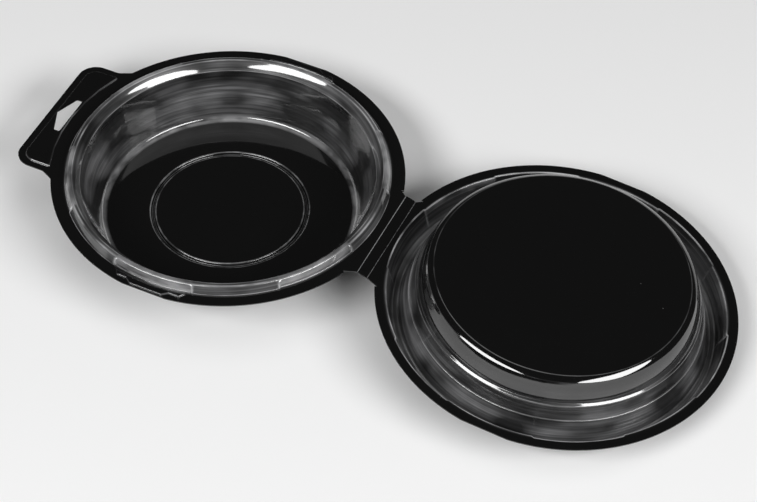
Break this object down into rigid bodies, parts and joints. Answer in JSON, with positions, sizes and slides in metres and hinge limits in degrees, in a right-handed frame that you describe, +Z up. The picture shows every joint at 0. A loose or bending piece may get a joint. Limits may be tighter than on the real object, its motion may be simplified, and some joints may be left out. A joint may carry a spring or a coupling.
{
  "type": "plastic clamshell pack",
  "caption": "Round hinged clamshell pack in thin glossy plastic, lying open: a dished tray with a snap ring and a hang tab, beside a lid with a groove round a raised plug.",
  "frame": {"origin": "centre of the tray's foot ring, on the surface that the pack lies on", "axes": "+X from the tray across the hinge to the open lid, +Z up out of the tray, +Y along the hinge line away from the picture's viewer"},
  "size_m": [0.3875, 0.1844, 0.0476],
  "materials": {
    "sheet": "gloss"
  },
  "bodies": {
    "tray": {"tray": "sheet"},
    "lid": {"lid": "sheet"}
  },
  "joints": [
    {"name": "lid_hinge", "type": "hinge", "parent": "tray", "child": "lid", "pos_m": [0.0939, 0, 0.02882], "axis": [0, -1, 0], "range_deg": [0, 184.88]}
  ]
}
